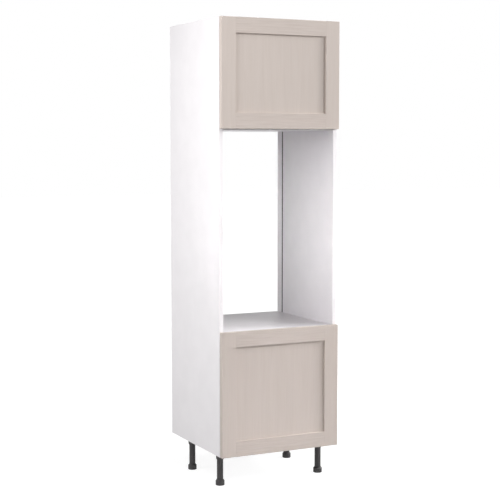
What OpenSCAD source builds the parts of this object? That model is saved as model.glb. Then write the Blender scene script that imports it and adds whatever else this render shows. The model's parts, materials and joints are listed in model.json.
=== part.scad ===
// Tall oven housing unit: faced boards on screw-in legs, with an open bay for a
// built-in oven between an upper and a lower cupboard, each with a framed door.
// Millimetres. +Z is up, the doors face -Y, and the origin is on the floor under
// the middle of the unit. The legs are modelled screwed fully in.

/* [Carcass] */
// Width over the two side panels
carcass_w = 600; // [500:10:900]
// Depth of the boards from front edge to back edge
carcass_d = 553; // [480:1:650]
// Thickness of the side panels, shelves, top and bottom
board_t = 18; // [16:0.5:19]
// Thickness of the edging glued to the boards' front edges
tape_t = 1; // [0.5:0.1:2]
// Thickness of the two back panels
back_t = 8; // [6:0.5:10]
// Middle of the back panels' groove, measured from the boards' back edges
groove_in = 51; // [40:1:70]
// Depth of the back panels' groove
groove_deep = 6; // [4:0.5:8]
// Clearance of a back panel on each side of its groove
groove_slack = 0.25; // [0.1:0.05:0.4]

/* [Oven bay] */
// Clear height between the two oven shelves
oven_aperture = 905; // [590:1:1200]
// Depth of the lower oven shelf's top below the top of the lower door
shelf_drop = 4; // [0:1:12]
// Height of the upper oven shelf's edge that shows below the upper door
shelf_show = 7; // [3:1:15]

/* [Doors] */
// Height of the upper door
upper_door_h = 490; // [420:1:900]
// Height of the lower door
lower_door_h = 570; // [420:1:900]
// Thickness of the doors
door_t = 22; // [21:0.5:25]
// Margin between a door's edge and the unit's side
door_side_gap = 1.5; // [1:0.5:4]
// Gap between the back of a closed door and the carcass
door_back_gap = 2; // [1.8:0.1:4]
// Width of the stiles and rails
frame_w = 70; // [60:1:110]
// Depth of the centre panel's face behind the face of the frame
recess = 10.5; // [6:0.5:11]
// Thickness of the centre panel
panel_t = 8; // [6:0.5:9]
// Length of the tongues that enter the stiles and rails
tongue_l = 10; // [6:0.5:12]
// Rounding of the doors' outer front edges
door_round = 2; // [0.5:0.25:3]

/* [Legs] */
// Height of the legs when screwed fully in
leg_h = 152; // [120:1:170]
// Distance of the legs' centres from the unit's sides
leg_side_in = 43; // [38:1:80]
// Distance of the front legs' centres behind the front edges
leg_front_in = 90; // [80:1:140]
// Distance of the back legs' centres from the back edges
leg_back_in = 148; // [140:1:200]
// Diameter of the leg tubes
leg_tube_d = 29.5; // [24:0.5:32]
// Diameter of the feet
foot_d = 41.5; // [34:0.5:50]
// Height of a foot below its tube
foot_h = 27; // [16:0.5:30]
// How far a foot screws out
foot_travel = 25; // [5:1:40]

/* [Hinges] */
// Distance of the hinges' middles from the ends of a door
hinge_in = 100; // [80:1:160]
// Diameter of the hinge cups
cup_d = 35; // [34:0.5:36]
// Depth of the bores that hold the cups
cup_deep = 13.5; // [13:0.25:14]
// Middle of a cup from the hinged edge of its door
cup_in = 22.5; // [21.5:0.25:24]
// Middle line of the mounting plates behind the front edges
plate_line = 37; // [34:1:45]
// Spacing of the two screws of a mounting plate
plate_screw_gap = 32; // [30:1:40]
// Spacing of the two screws of a cup
cup_screw_gap = 45; // [42:1:50]
// Width across the two cheeks of a hinge arm
arm_w = 13; // [12.5:0.5:15]
// Width of the curved links between arm and cup
link_w = 9; // [8:0.5:9]
// Radius of the hinge pins
pin_r = 2; // [1.5:0.1:2.2]

/* [Fittings] */
// Distance of the front cam locks behind the front edges
cam_front_in = 50; // [40:1:56]
// Distance of the back cam locks from the back edges
cam_back_in = 110; // [95:1:115]
// Distance from each cam lock to its dowel
dowel_step = 32; // [28:1:36]
// Diameter of the cam locks
cam_d = 15; // [12:0.5:16]
// Distance of a cam lock's middle from the end of its board
cam_reach = 34; // [26:1:40]
// Diameter of the wooden dowels
dowel_d = 8; // [6:0.5:8]
// Length of the wooden dowels
dowel_l = 30; // [24:1:36]

/* [Hidden] */
$fn = 48;

// Clearances
glue_fit = 0.05; // a pin, dowel or cup in the bore that holds it
turn_fit = 0.08; // a pin in what turns on it
slide_fit = 0.1; // a foot's stem in its tube
end_slack = 0.5; // past the end of a tongue, a dowel or a back panel

// Colours
white_board = "#f4f3f5";
white_edge = "#fdfdfd";
door_foil = "#cdc2bc";
leg_plastic = "#4b4849";
zinc = "#b9bcc0";
beech = "#d9b98a";
buffer_clear = "#e8ebec";

// The carcass
half_w = carcass_w / 2;
inner_half = half_w - board_t;
total_d = carcass_d + door_back_gap + door_t;
door_front = -total_d / 2;
door_back = door_front + door_t;
front = door_back + door_back_gap;
back = total_d / 2;
core_front = front + tape_t;
base_z = leg_h;
lower_door_top = base_z + lower_door_h;
lower_shelf_top = lower_door_top - shelf_drop;
upper_shelf_under = lower_shelf_top + oven_aperture;
upper_door_z = upper_shelf_under + shelf_show;
top_z = upper_door_z + upper_door_h;
groove_y = back - groove_in;
groove_t = back_t + 2 * groove_slack;

// The underside of each level board and the face that its cam locks are set in
bottom_z = base_z;
lower_shelf_z = lower_shelf_top - board_t;
upper_shelf_z = upper_shelf_under;
top_panel_z = top_z - board_t;
BOARDS = [[bottom_z, -1], [lower_shelf_z, -1], [upper_shelf_z, -1], [top_panel_z, 1]];

// The fittings between the level boards and the side panels
cam_rows = [front + cam_front_in, back - cam_back_in];
dowel_rows = [front + cam_front_in + dowel_step, back - cam_back_in - dowel_step];
bolt_r = 3;
bolt_head_r = 3.4;
bolt_head_l = 3;
bolt_thread_l = 11;
cam_deep = board_t / 2 + bolt_head_r + 1;
cam_channel_r = bolt_head_r + 0.4;
cam_slot_w = 1.6;
cam_slot_deep = 2;
dowel_in_side = 10;

// The doors
door_w = carcass_w - 2 * door_side_gap;
door_half = door_w / 2;
door_inner = door_half - frame_w;
panel_fit = 0.1;
buffer_d = 8;
buffer_in = 9;
buffer_t = door_back_gap - 0.1;

// The hinges, in a plan frame of their own: u runs inward from the outer face of
// the right side panel, v runs forward from the carcass front edges
hinge_z = [
    top_z - hinge_in, upper_door_z + hinge_in,
    lower_door_top - hinge_in, base_z + hinge_in
];
cup_u = door_side_gap + cup_in;
cup_wall = 1;
cup_r = cup_d / 2 - glue_fit;
cup_screw_u = cup_u + 9.5;
wing_t = 1.2;
wing_r = 7;
arm_pivot = [board_t + 25.65, -14.2];
cup_pivot = [cup_u - 9.1, door_back_gap + 3.2];
link_path = [
    cup_pivot,
    [cup_u - 7, door_back_gap + 7.2],
    [cup_u + 5.5, door_back_gap + 7.2],
    [cup_u + 8.2, door_back_gap - 0.5],
    arm_pivot
];
link_thick = 4;
link_plate_t = 1.8;
eye_r = 3.4;
pin_end_gap = 0.3;
arm_t = 1.5;
arm_back_v = -64;
plate_t = 2.5;
plate_rail_u = board_t + 6;
screw_head_r = 3.6;
screw_head_t = 1.6;
screw_r = 1.9;

// The legs
leg_x = half_w - leg_side_in;
leg_front_y = front + leg_front_in;
leg_back_y = back - leg_back_in;
tube_r = leg_tube_d / 2;
tube_wall = 3;
stem_r = tube_r - tube_wall - slide_fit;
socket_plate = 60;
socket_plate_t = 4;
socket_h = 30;
socket_top_r = tube_r + 6;
socket_low_r = tube_r + 3;
leg_screw_in = 20;
foot_gap = 0.2;
foot_grips = 16;
grip_r = 2;
stem_l = foot_travel + 35;

// ---- small helpers ----

module block(low, high) {
    translate(low) cube(high - low);
}

// Turns its children so that they lie along +X, at a height and a row
module along_x(x, y, z) {
    translate([x, y, z]) rotate([0, 90, 0]) children();
}

// A flat plate with rounded corners, centred on the origin, from z = 0 upward
module rounded_plate(w, h, t, r) {
    linear_extrude(t) {
        square([w - 2 * r, h], center = true);
        square([w, h - 2 * r], center = true);
        for (x = [-1, 1], y = [-1, 1])
            translate([x * (w / 2 - r), y * (h / 2 - r)]) circle(r);
    }
}

// A bar with round ends from p to q
module bar(p, q, w) {
    d = q - p;
    translate(p) circle(w / 2);
    translate(q) circle(w / 2);
    translate(p) rotate(atan2(d.y, d.x)) translate([0, -w / 2]) square([norm(d), w]);
}

// The corner of a strip that follows a path, at its point i and at a distance to
// the left of the path. Inner corners are mitred and the two ends are square
function strip_corner(path, i, distance) = let(
    before = path[max(i - 1, 0)],
    after = path[min(i + 1, len(path) - 1)],
    n = left_of(i == 0 ? after - path[i] : path[i] - before)
        + left_of(i == len(path) - 1 ? path[i] - before : after - path[i])
) path[i] + n * 2 * distance / (n * n);

// The unit vector square to d, on its left
function left_of(d) = [-d.y, d.x] / norm(d);

// ---- carcass ----

module side_panel(side) {
    inner = side * inner_half;
    outer = side * half_w;
    color(white_board)
    difference() {
        block(
            [min(inner, outer), core_front, base_z],
            [max(inner, outer), back, top_z]
        );
        translate([inner - groove_deep, groove_y - groove_t / 2, base_z - 1])
            cube([2 * groove_deep, groove_t, top_z - base_z + 2]);
        for (b = BOARDS) {
            for (y = cam_rows)
                along_x(inner, y, b[0] + board_t / 2)
                    cylinder(h = 2 * bolt_thread_l, r = bolt_r + glue_fit, center = true);
            for (y = dowel_rows)
                along_x(inner, y, b[0] + board_t / 2)
                    cylinder(
                        h = 2 * (dowel_in_side + end_slack),
                        d = dowel_d + 2 * glue_fit,
                        center = true
                    );
        }
        if (side > 0) at_hinges(hinge_z) plate_screw_places()
            cylinder(h = 30, r = screw_r + glue_fit, center = true);
    }
}

module left_side_panel() side_panel(-1);
module right_side_panel() side_panel(1);

// A level board: groove = 1 grooves its top for a back panel, -1 its underside
module level_board(i, groove) {
    z = BOARDS[i][0];
    cam_face = BOARDS[i][1];
    cam_z = cam_face > 0 ? z + board_t - cam_deep : z;
    groove_z = groove > 0 ? z + board_t - groove_deep : z - 1;
    color(white_board)
    difference() {
        block([-inner_half, core_front, z], [inner_half, back, z + board_t]);
        translate([-inner_half - 1, groove_y - groove_t / 2, groove_z])
            cube([2 * inner_half + 2, groove_t, groove_deep + 1]);
        for (side = [-1, 1]) {
            for (y = cam_rows) {
                along_x(side * (inner_half - cam_reach / 2), y, z + board_t / 2)
                    cylinder(h = cam_reach + 1, r = bolt_r + end_slack, center = true);
                translate([side * (inner_half - cam_reach), y, cam_z - (cam_face > 0 ? 0 : 1)])
                    cylinder(h = cam_deep + 1, d = cam_d + 2 * slide_fit);
            }
            for (y = dowel_rows)
                along_x(side * inner_half, y, z + board_t / 2)
                    cylinder(
                        h = 2 * (dowel_l - dowel_in_side + end_slack),
                        d = dowel_d + 2 * glue_fit,
                        center = true
                    );
        }
        if (i == 0) leg_screw_places() translate([0, 0, -1])
            cylinder(h = 14, r = screw_r + glue_fit);
    }
}

module bottom_panel() level_board(0, 1);
module lower_oven_shelf() level_board(1, -1);
module upper_oven_shelf() level_board(2, 1);
module top_panel() level_board(3, -1);

// A back panel stands on the floor of the lower groove
module back_panel(low, high) {
    x = inner_half + groove_deep - end_slack;
    color(white_board) block(
        [-x, groove_y - back_t / 2, low - groove_deep],
        [x, groove_y + back_t / 2, high + groove_deep - end_slack]
    );
}

module upper_back_panel() back_panel(upper_shelf_z + board_t, top_panel_z);
module lower_back_panel() back_panel(bottom_z + board_t, lower_shelf_z);

module front_edge_tapes() {
    color(white_edge) {
        for (side = [-1, 1]) {
            x = side * (half_w - board_t / 2);
            block([x - board_t / 2, front, base_z], [x + board_t / 2, core_front, top_z]);
        }
        for (b = BOARDS)
            block(
                [-inner_half + glue_fit, front, b[0]],
                [inner_half - glue_fit, core_front, b[0] + board_t]
            );
    }
}

module wooden_dowels() {
    color(beech)
    for (b = BOARDS, side = [-1, 1], y = dowel_rows)
        along_x(side * (inner_half + dowel_in_side - dowel_l / 2), y, b[0] + board_t / 2)
            cylinder(h = dowel_l, d = dowel_d, center = true);
}

module cam_bolts() {
    color(zinc)
    for (b = BOARDS, side = [-1, 1], y = cam_rows)
        translate([side * inner_half, y, b[0] + board_t / 2])
            rotate([0, side * 90, 0]) cam_bolt();
}

// A bolt along +Z: its thread is in the side panel, its head in the cam lock
module cam_bolt() {
    neck_r = bolt_r * 0.6;
    head_z = -cam_reach - bolt_head_l / 2;
    neck_l = cam_d / 2;
    cylinder(h = bolt_thread_l, r = bolt_r);
    translate([0, 0, -cam_reach + neck_l]) cylinder(h = cam_reach - neck_l, r = bolt_r);
    translate([0, 0, -cam_reach]) cylinder(h = neck_l, r = neck_r);
    translate([0, 0, head_z]) cylinder(h = bolt_head_l, r = bolt_head_r);
}

module cam_locks() {
    color(zinc)
    for (b = BOARDS, side = [-1, 1], y = cam_rows) {
        low = b[1] > 0 ? b[0] + board_t - cam_deep : b[0];
        translate([side * (inner_half - cam_reach), y, 0])
        difference() {
            translate([0, 0, low]) cylinder(h = cam_deep, d = cam_d);
            translate([side * cam_d / 4, 0, b[0] + board_t / 2]) rotate([0, 90, 0])
                cylinder(h = cam_d, r = cam_channel_r, center = true);
            for (turn = [0, 90])
                translate([0, 0, b[1] > 0 ? low + cam_deep : low]) rotate(turn)
                    cube([cam_d * 0.6, cam_slot_w, 2 * cam_slot_deep], center = true);
        }
    }
}

// ---- doors ----

// Everything of a door lies inside this slab with rounded front edges
module door_slab(low, h) {
    intersection() {
        translate([0, 0, low]) linear_extrude(h) slab_section(door_half, door_half);
        translate([-door_half, 0, 0]) rotate([90, 0, 90]) linear_extrude(door_w)
            rotate(-90) slab_section(low + h, -low);
    }
}

// A rectangle from -left to right across and over the door's thickness, with its
// two front corners rounded
module slab_section(left, right) {
    translate([-left, door_front + door_round])
        square([left + right, door_t - door_round]);
    translate([-left + door_round, door_front])
        square([left + right - 2 * door_round, door_round + 1]);
    for (x = [-left + door_round, right - door_round])
        translate([x, door_front + door_round]) circle(door_round);
}

// The groove that takes the tongues: a slab of the panel's place in the thickness
module groove_slab(x0, x1, z0, z1, fit) {
    block(
        [x0, door_front + recess - fit, z0],
        [x1, door_front + recess + panel_t + fit, z1]
    );
}

module stile(low, h, side) {
    inner = side * door_inner;
    outer = side * door_half;
    deep = side * (door_inner + tongue_l + end_slack);
    color(door_foil)
    difference() {
        intersection() {
            block(
                [min(inner, outer), door_front, low],
                [max(inner, outer), door_back, low + h]
            );
            door_slab(low, h);
        }
        groove_slab(min(inner - side, deep), max(inner - side, deep), low - 1, low + h + 1, panel_fit);
        if (side > 0) at_hinges([low + hinge_in, low + h - hinge_in]) {
            translate([cup_u, door_back_gap - 1, 0]) rotate([-90, 0, 0])
                cylinder(h = cup_deep + 1, d = cup_d);
            cup_screw_places() cylinder(h = 11, r = screw_r + glue_fit);
        }
    }
}

// A rail between the stiles; edge = 1 has the centre panel above it, -1 below it
module rail(low, h, edge) {
    z0 = edge > 0 ? low : low + h - frame_w;
    open = edge > 0 ? z0 + frame_w : z0;
    tip = tongue_l + end_slack;
    color(door_foil) {
        difference() {
            intersection() {
                union() {
                    block([-door_inner, door_front, z0], [door_inner, door_back, z0 + frame_w]);
                    groove_slab(
                        -door_inner - tongue_l, door_inner + tongue_l,
                        edge > 0 ? z0 : z0 + tip, edge > 0 ? z0 + frame_w - tip : z0 + frame_w,
                        0
                    );
                }
                door_slab(low, h);
            }
            groove_slab(
                -door_half, door_half,
                edge > 0 ? open - tip : open - 1, edge > 0 ? open + 1 : open + tip,
                panel_fit
            );
        }
    }
}

module centre_panel(low, h) {
    x = door_inner + tongue_l;
    inset = frame_w - tongue_l;
    color(door_foil) groove_slab(-x, x, low + inset, low + h - inset, 0);
}

// Soft stops stuck to the back of a door at the corners of its free edge
module buffers(low, h) {
    color(buffer_clear)
    for (z = [low + buffer_in, low + h - buffer_in])
        translate([-door_half + buffer_in, door_back, z]) rotate([-90, 0, 0])
            cylinder(h = buffer_t, d = buffer_d);
}

module upper_door_left_stile() stile(upper_door_z, upper_door_h, -1);
module upper_door_right_stile() stile(upper_door_z, upper_door_h, 1);
module upper_door_top_rail() rail(upper_door_z, upper_door_h, -1);
module upper_door_bottom_rail() rail(upper_door_z, upper_door_h, 1);
module upper_door_centre_panel() centre_panel(upper_door_z, upper_door_h);
module upper_door_buffers() buffers(upper_door_z, upper_door_h);
module lower_door_left_stile() stile(base_z, lower_door_h, -1);
module lower_door_right_stile() stile(base_z, lower_door_h, 1);
module lower_door_top_rail() rail(base_z, lower_door_h, -1);
module lower_door_bottom_rail() rail(base_z, lower_door_h, 1);
module lower_door_centre_panel() centre_panel(base_z, lower_door_h);
module lower_door_buffers() buffers(base_z, lower_door_h);

// ---- hinges ----

// Puts children drawn at (u, v, height) at the hinges on the right side panel
module at_hinges(heights) {
    for (z = heights)
        translate([half_w, front, z]) rotate(180) children();
}

// The screws of a mounting plate, along -Z into the side panel
module plate_screw_places() {
    for (z = [-1, 1] * plate_screw_gap / 2)
        translate([board_t + plate_t, -plate_line, z]) rotate([0, 90, 0]) children();
}

// The screws of a cup, along +Z into the door
module cup_screw_places() {
    for (z = [-1, 1] * cup_screw_gap / 2)
        translate([cup_screw_u, door_back_gap, z]) rotate([-90, 0, 0]) children();
}

module hinge_cup(z) {
    color(zinc)
    at_hinges([z]) difference() {
        union() {
            translate([cup_u, door_back_gap, 0]) rotate([-90, 0, 0])
                cylinder(h = cup_deep, r = cup_r);
            cup_wings();
        }
        translate([cup_u, door_back_gap - 2, 0]) rotate([-90, 0, 0])
            cylinder(h = cup_deep - cup_wall + 2, r = cup_r - cup_wall);
        translate([cup_pivot.x, cup_pivot.y, 0])
            cylinder(h = cup_d, r = pin_r + glue_fit, center = true);
        cup_screw_places() cylinder(h = 10, r = screw_r + slide_fit, center = true);
    }
}

// Two ears that lie on the door's back above and below the cup
module cup_wings() {
    half_link = link_w / 2 + 2;
    rotate([90, 0, 0]) translate([0, 0, -door_back_gap]) linear_extrude(wing_t)
        for (side = [-1, 1]) {
            bar(
                [cup_u, side * (cup_r - 5)],
                [cup_screw_u, side * cup_screw_gap / 2],
                2 * wing_r - 4
            );
            translate([cup_u, side * (half_link + 5)]) square([16, 10], center = true);
            translate([cup_screw_u, side * cup_screw_gap / 2]) circle(wing_r);
        }
}

module hinge_arm(z) {
    color(zinc)
    at_hinges([z]) difference() {
        union() {
            for (side = [-1, 1])
                translate([0, 0, side * (arm_w - arm_t) / 2 - arm_t / 2])
                    linear_extrude(arm_t) arm_cheek();
            translate([0, 0, -arm_w / 2]) linear_extrude(arm_w) arm_web();
        }
        translate([arm_pivot.x, arm_pivot.y, 0])
            cylinder(h = arm_w + 2, r = pin_r + glue_fit, center = true);
        arm_screw_places() cylinder(h = 20, r = screw_r + slide_fit, center = true);
    }
}

// The side of the arm: it lies along its mounting plate and rises to the pin
module arm_cheek() {
    nose = [arm_pivot.x, arm_pivot.y];
    polygon([
        [plate_rail_u - 3, arm_back_v], [plate_rail_u + 2, arm_back_v],
        [plate_rail_u + 5, -45], [nose.x + eye_r, nose.y - 6],
        [nose.x + eye_r, nose.y], [nose.x - eye_r, nose.y],
        [plate_rail_u + 4, -24], [plate_rail_u - 3, -24]
    ]);
    translate(nose) circle(eye_r);
}

// The back of the channel, over the mounting plate's rail
module arm_web() {
    polygon([
        [plate_rail_u + slide_fit, arm_back_v],
        [plate_rail_u + slide_fit + arm_t, arm_back_v],
        [plate_rail_u + slide_fit + arm_t, -24],
        [plate_rail_u + slide_fit, -24]
    ]);
}

// The two adjusting screws through the web of an arm
module arm_screw_places() {
    for (v = [arm_back_v + 8, -34])
        translate([plate_rail_u + slide_fit + arm_t, v, 0]) rotate([0, 90, 0]) children();
}

module hinge_plate(z) {
    rail_half = arm_w / 2 - arm_t - slide_fit;
    color(zinc)
    at_hinges([z]) difference() {
        union() {
            translate([board_t, -plate_line, 0]) rotate([0, 90, 0])
                rounded_plate(plate_screw_gap + 14, 18, plate_t, 6);
            block(
                [board_t, arm_back_v + 2, -rail_half],
                [plate_rail_u, -22, rail_half]
            );
        }
        plate_screw_places() cylinder(h = 20, r = screw_r + slide_fit, center = true);
        arm_screw_places() cylinder(h = 2 * (plate_rail_u - board_t), r = screw_r + glue_fit, center = true);
    }
}

module hinge_links(heights) {
    color(zinc)
    at_hinges(heights) difference() {
        union() {
            for (side = [-1, 1])
                translate([0, 0, side * (link_w - link_plate_t) / 2 - link_plate_t / 2])
                    linear_extrude(link_plate_t) link_outline();
            translate([0, 0, -link_w / 2]) linear_extrude(link_w) polygon([
                strip_corner(link_path, 2, link_thick / 2),
                strip_corner(link_path, 3, link_thick / 2),
                strip_corner(link_path, 3, -link_thick / 2),
                strip_corner(link_path, 2, -link_thick / 2)
            ]);
        }
        for (p = [arm_pivot, cup_pivot])
            translate(p) cylinder(h = link_w + 2, r = pin_r + turn_fit, center = true);
    }
}

module link_outline() {
    last = len(link_path) - 1;
    polygon(concat(
        [for (i = [0 : last]) strip_corner(link_path, i, link_thick / 2)],
        [for (i = [last : -1 : 0]) strip_corner(link_path, i, -link_thick / 2)]
    ));
    for (p = [arm_pivot, cup_pivot]) translate(p) circle(eye_r);
}

module cup_pins(heights) {
    half = sqrt(pow(cup_r, 2) - pow(cup_u - cup_pivot.x + pin_r, 2)) - pin_end_gap;
    color(zinc)
    at_hinges(heights) translate(cup_pivot)
        cylinder(h = 2 * half, r = pin_r, center = true);
}

module cup_screws(heights) {
    color(zinc)
    at_hinges(heights) cup_screw_places() {
        cylinder(h = 10, r = screw_r);
        translate([0, 0, -wing_t - screw_head_t]) cylinder(h = screw_head_t, r = screw_head_r);
        translate([0, 0, -wing_t - 0.5]) cylinder(h = wing_t + 1, r = screw_r);
    }
}

module hinge_arm_pins() {
    color(zinc)
    at_hinges(hinge_z) translate(arm_pivot) {
        cylinder(h = arm_w + 1, r = pin_r, center = true);
        for (side = [-1, 1])
            translate([0, 0, side * (arm_w / 2 + 0.4)])
                cylinder(h = 0.8, r = pin_r + 1, center = true);
    }
}

module hinge_plate_screws() {
    color(zinc)
    at_hinges(hinge_z) plate_screw_places() {
        translate([0, 0, -14]) cylinder(h = 14.5, r = screw_r);
        cylinder(h = screw_head_t, r = screw_head_r);
    }
}

module hinge_arm_screws() {
    color(zinc)
    at_hinges(hinge_z) arm_screw_places() {
        translate([0, 0, -arm_t - 3]) cylinder(h = arm_t + 3.5, r = screw_r);
        cylinder(h = screw_head_t, r = screw_head_r);
    }
}

module upper_door_top_hinge_cup() hinge_cup(hinge_z[0]);
module upper_door_bottom_hinge_cup() hinge_cup(hinge_z[1]);
module lower_door_top_hinge_cup() hinge_cup(hinge_z[2]);
module lower_door_bottom_hinge_cup() hinge_cup(hinge_z[3]);
module upper_door_top_hinge_arm() hinge_arm(hinge_z[0]);
module upper_door_bottom_hinge_arm() hinge_arm(hinge_z[1]);
module lower_door_top_hinge_arm() hinge_arm(hinge_z[2]);
module lower_door_bottom_hinge_arm() hinge_arm(hinge_z[3]);
module upper_door_top_hinge_plate() hinge_plate(hinge_z[0]);
module upper_door_bottom_hinge_plate() hinge_plate(hinge_z[1]);
module lower_door_top_hinge_plate() hinge_plate(hinge_z[2]);
module lower_door_bottom_hinge_plate() hinge_plate(hinge_z[3]);
module upper_door_hinge_links() hinge_links([hinge_z[0], hinge_z[1]]);
module lower_door_hinge_links() hinge_links([hinge_z[2], hinge_z[3]]);
module upper_door_cup_pins() cup_pins([hinge_z[0], hinge_z[1]]);
module lower_door_cup_pins() cup_pins([hinge_z[2], hinge_z[3]]);
module upper_door_cup_screws() cup_screws([hinge_z[0], hinge_z[1]]);
module lower_door_cup_screws() cup_screws([hinge_z[2], hinge_z[3]]);

// ---- legs ----

module at_front_left() translate([-leg_x, leg_front_y, 0]) children();
module at_front_right() translate([leg_x, leg_front_y, 0]) children();
module at_back_left() translate([-leg_x, leg_back_y, 0]) children();
module at_back_right() translate([leg_x, leg_back_y, 0]) children();

module leg_screw_places() {
    for (x = [-leg_x, leg_x], y = [leg_front_y, leg_back_y])
        for (dx = [-1, 1] * leg_screw_in, dy = [-1, 1] * leg_screw_in)
            translate([x + dx, y + dy, base_z]) children();
}

module leg_socket() {
    plate_z = leg_h - socket_plate_t;
    color(leg_plastic)
    difference() {
        union() {
            translate([0, 0, plate_z])
                rounded_plate(socket_plate, socket_plate, socket_plate_t, 8);
            translate([0, 0, leg_h - socket_h])
                cylinder(h = socket_h - socket_plate_t, r1 = socket_low_r, r2 = socket_top_r);
        }
        translate([0, 0, leg_h - socket_h - 1])
            cylinder(h = socket_h - socket_plate_t + 1, r = tube_r + glue_fit);
        for (dx = [-1, 1] * leg_screw_in, dy = [-1, 1] * leg_screw_in)
            translate([dx, dy, 0]) cylinder(h = leg_h + 1, r = screw_r + slide_fit);
        for (dx = [-1, 1] * leg_screw_in, dy = [-1, 1] * leg_screw_in)
            translate([dx, dy, 0]) cylinder(h = plate_z, r = screw_head_r + end_slack);
    }
}

module leg_tube() {
    low = foot_h + foot_gap;
    high = leg_h - socket_plate_t;
    color(leg_plastic)
    translate([0, 0, low]) difference() {
        cylinder(h = high - low, r = tube_r);
        translate([0, 0, -1]) cylinder(h = high - low - 3, r = stem_r + slide_fit);
    }
}

// The foot: a base with grips round its rim, a sloping shoulder and a screwed stem
module leg_foot() {
    foot_r = foot_d / 2;
    rim_z = foot_h * 0.8;
    color(leg_plastic)
    difference() {
        rotate_extrude() polygon(concat(
            [[0, 0], [foot_r - 1.5, 0], [foot_r, 1.5], [foot_r, rim_z]],
            [[tube_r + 1, foot_h], [stem_r - 1, foot_h]],
            [for (i = [0 : stem_l / 4 - 1], p = [[stem_r, 1], [stem_r, 3], [stem_r - 1, 4]])
                [p.x, foot_h + 4 * i + p.y]],
            [[0, foot_h + stem_l]]
        ));
        for (i = [0 : foot_grips - 1])
            rotate(i * 360 / foot_grips) translate([foot_r + grip_r * 0.4, 0, 3])
                cylinder(h = foot_h, r = grip_r);
    }
}

module leg_socket_screws() {
    color(zinc)
    leg_screw_places() {
        translate([0, 0, -socket_plate_t - 1]) cylinder(h = socket_plate_t + 13, r = screw_r);
        translate([0, 0, -socket_plate_t - screw_head_t])
            cylinder(h = screw_head_t, r = screw_head_r);
    }
}

module leg_socket_front_left() at_front_left() leg_socket();
module leg_socket_front_right() at_front_right() leg_socket();
module leg_socket_back_left() at_back_left() leg_socket();
module leg_socket_back_right() at_back_right() leg_socket();
module leg_tube_front_left() at_front_left() leg_tube();
module leg_tube_front_right() at_front_right() leg_tube();
module leg_tube_back_left() at_back_left() leg_tube();
module leg_tube_back_right() at_back_right() leg_tube();
module leg_foot_front_left() at_front_left() leg_foot();
module leg_foot_front_right() at_front_right() leg_foot();
module leg_foot_back_left() at_back_left() leg_foot();
module leg_foot_back_right() at_back_right() leg_foot();

// ---- the parts ----

left_side_panel();
right_side_panel();
top_panel();
upper_oven_shelf();
lower_oven_shelf();
bottom_panel();
upper_back_panel();
lower_back_panel();
front_edge_tapes();
wooden_dowels();
cam_bolts();
cam_locks();
leg_socket_front_left();
leg_socket_front_right();
leg_socket_back_left();
leg_socket_back_right();
leg_tube_front_left();
leg_tube_front_right();
leg_tube_back_left();
leg_tube_back_right();
leg_foot_front_left();
leg_foot_front_right();
leg_foot_back_left();
leg_foot_back_right();
leg_socket_screws();
upper_door_left_stile();
upper_door_right_stile();
upper_door_top_rail();
upper_door_bottom_rail();
upper_door_centre_panel();
upper_door_buffers();
lower_door_left_stile();
lower_door_right_stile();
lower_door_top_rail();
lower_door_bottom_rail();
lower_door_centre_panel();
lower_door_buffers();
upper_door_top_hinge_cup();
upper_door_bottom_hinge_cup();
lower_door_top_hinge_cup();
lower_door_bottom_hinge_cup();
upper_door_top_hinge_arm();
upper_door_bottom_hinge_arm();
lower_door_top_hinge_arm();
lower_door_bottom_hinge_arm();
upper_door_top_hinge_plate();
upper_door_bottom_hinge_plate();
lower_door_top_hinge_plate();
lower_door_bottom_hinge_plate();
upper_door_hinge_links();
lower_door_hinge_links();
upper_door_cup_pins();
lower_door_cup_pins();
upper_door_cup_screws();
lower_door_cup_screws();
hinge_arm_pins();
hinge_plate_screws();
hinge_arm_screws();
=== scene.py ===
# %% [markdown]
# # Dressing a tall oven housing unit
#
# A kitchen housing unit is a tall box of white faced chipboard. It stands on black
# plastic legs, holds a built-in oven in an open bay, and has a framed door above
# and below the bay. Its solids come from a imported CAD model, already in place. This
# lesson adds what a camera sees: soft edges, grain, gloss, plated metal and light.
#
# Everything is in metres, with the doors facing -Y and the floor at z = 0.

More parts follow.
